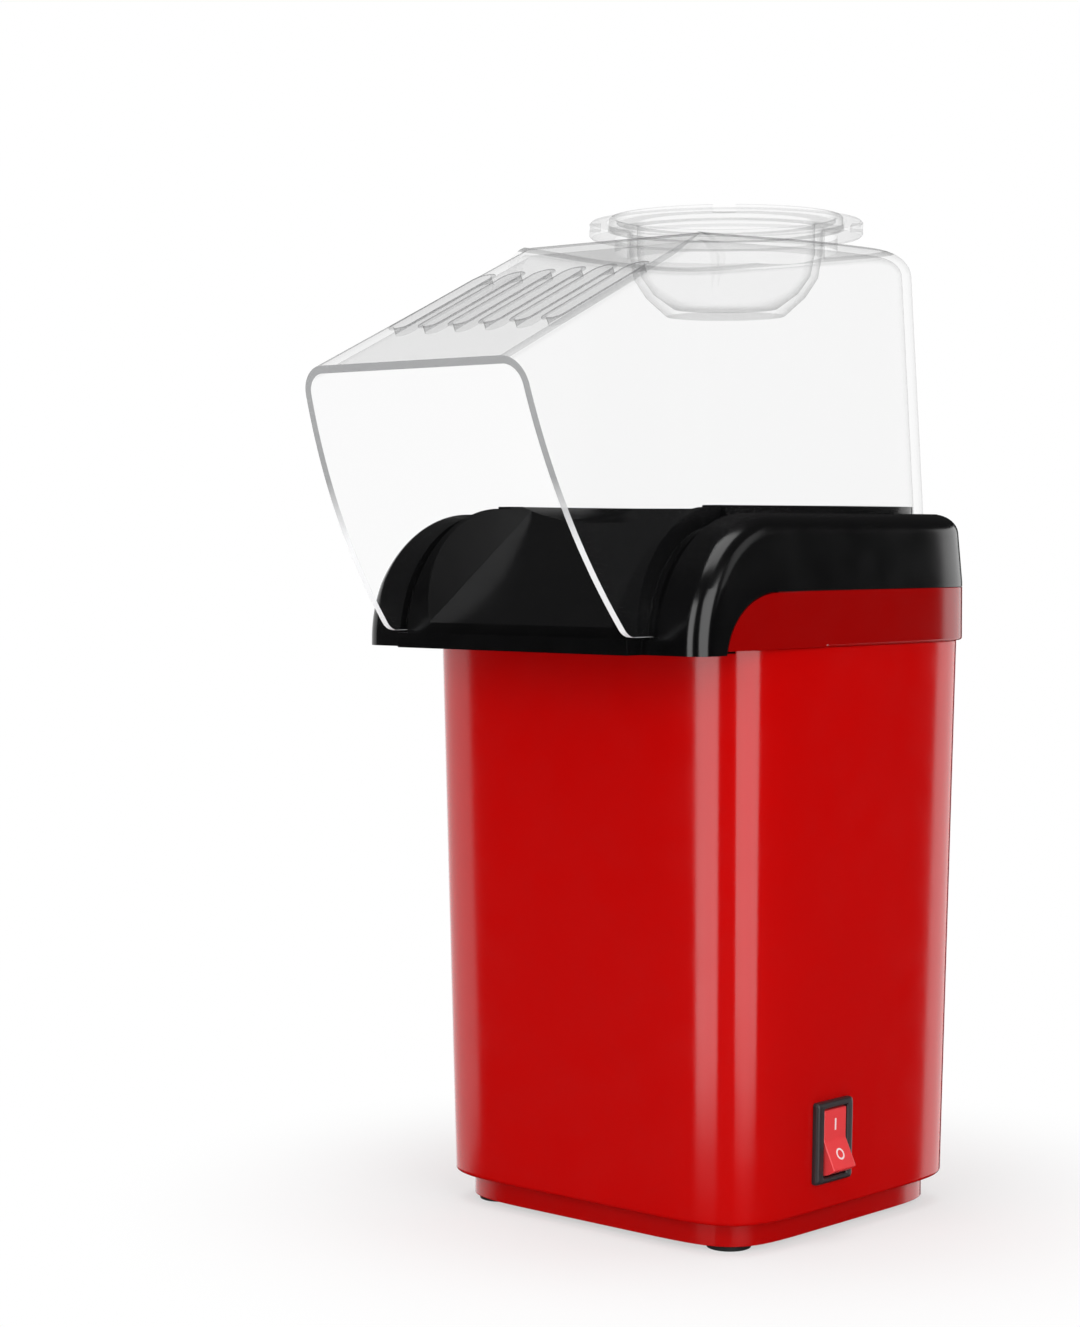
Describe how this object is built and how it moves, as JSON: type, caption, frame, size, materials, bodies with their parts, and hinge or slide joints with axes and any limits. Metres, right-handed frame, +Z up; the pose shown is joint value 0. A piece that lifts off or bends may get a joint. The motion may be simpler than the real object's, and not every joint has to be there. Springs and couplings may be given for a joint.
{
  "type": "popcorn maker",
  "caption": "Countertop hot-air popcorn maker: tapered body, arched chute shell, lift-off clear hood, measuring cup, rocker switch and an aluminium popping chamber over a fan heater.",
  "frame": {"origin": "on the counter, under the middle of the whole machine's bounding box", "axes": "+Z up, the chute and the hood's mouth face -Y, the switch is on the +X side"},
  "size_m": [0.116, 0.1632, 0.2651],
  "materials": {
    "clear_plastic": "clear moulded plastic, smooth, faintly grey at the edges",
    "black_gloss": "glossy black moulded plastic",
    "red_gloss": "glossy red moulded plastic",
    "red_band": "glossy red moulded plastic, slightly darker",
    "foot_rubber": "matt black rubber",
    "screw_steel": "zinc-plated steel",
    "switch_black": "satin black nylon",
    "brass_tab": "bare brass",
    "rocker_red": "glossy red polycarbonate",
    "chamber_aluminium": "drawn aluminium",
    "gasket_silicone": "soft ivory silicone",
    "phenolic": "brown phenolic board",
    "can_steel": "galvanised sheet steel",
    "mica": "pressed mica sheet",
    "resistance_wire": "oxidised nichrome",
    "fan_nylon": "heat-resistant dark nylon",
    "impeller_nylon": "grey nylon",
    "motor_steel": "nickel-plated steel",
    "board_green": "green solder mask",
    "diode_black": "black epoxy with tinned leads",
    "guard_black": "black phenolic thermostat body"
  },
  "bodies": {
    "housing": {"upper_shell": "black_gloss", "side_band": "red_band", "body_shell": "red_gloss", "base_plate": "red_band", "rubber_feet": "foot_rubber", "base_screws": "screw_steel", "switch_body": "switch_black", "switch_terminals": "brass_tab", "popping_chamber": "chamber_aluminium", "chamber_gasket": "gasket_silicone", "support_plate": "phenolic", "chamber_screws": "screw_steel", "heater_can": "can_steel", "air_baffle": "mica", "mica_boards": "mica", "heating_wire": "resistance_wire", "fan_housing": "fan_nylon", "motor_can": "motor_steel", "motor_end_cap": "switch_black", "motor_screws": "screw_steel", "rectifier_board": "board_green", "rectifier_diodes": "diode_black", "thermostat": "guard_black", "thermal_fuse": "screw_steel", "housing_screws": "screw_steel", "cord_bush": "foot_rubber"},
    "hood": {"hood": "clear_plastic"},
    "cup": {"measuring_cup": "clear_plastic"},
    "rocker": {"switch_rocker": "rocker_red"},
    "fan": {"fan_impeller": "impeller_nylon", "motor_shaft": "motor_steel"}
  },
  "joints": [
    {"name": "hood_lift", "type": "slide", "parent": "housing", "child": "hood", "axis": [0, 0, 1], "range_m": [0, 0.06]},
    {"name": "cup_lift", "type": "slide", "parent": "hood", "child": "cup", "axis": [0, 0, 1], "range_m": [0, 0.04]},
    {"name": "rocker_turn", "type": "hinge", "parent": "housing", "child": "rocker", "pos_m": [0.05315, 0.01585, 0.02551], "axis": [0, 1, 0], "range_deg": [0, 26]},
    {"name": "fan_spin", "type": "hinge", "parent": "housing", "child": "fan", "pos_m": [0, 0.02835, 0.064], "axis": [0, 0, 1], "continuous": true}
  ]
}
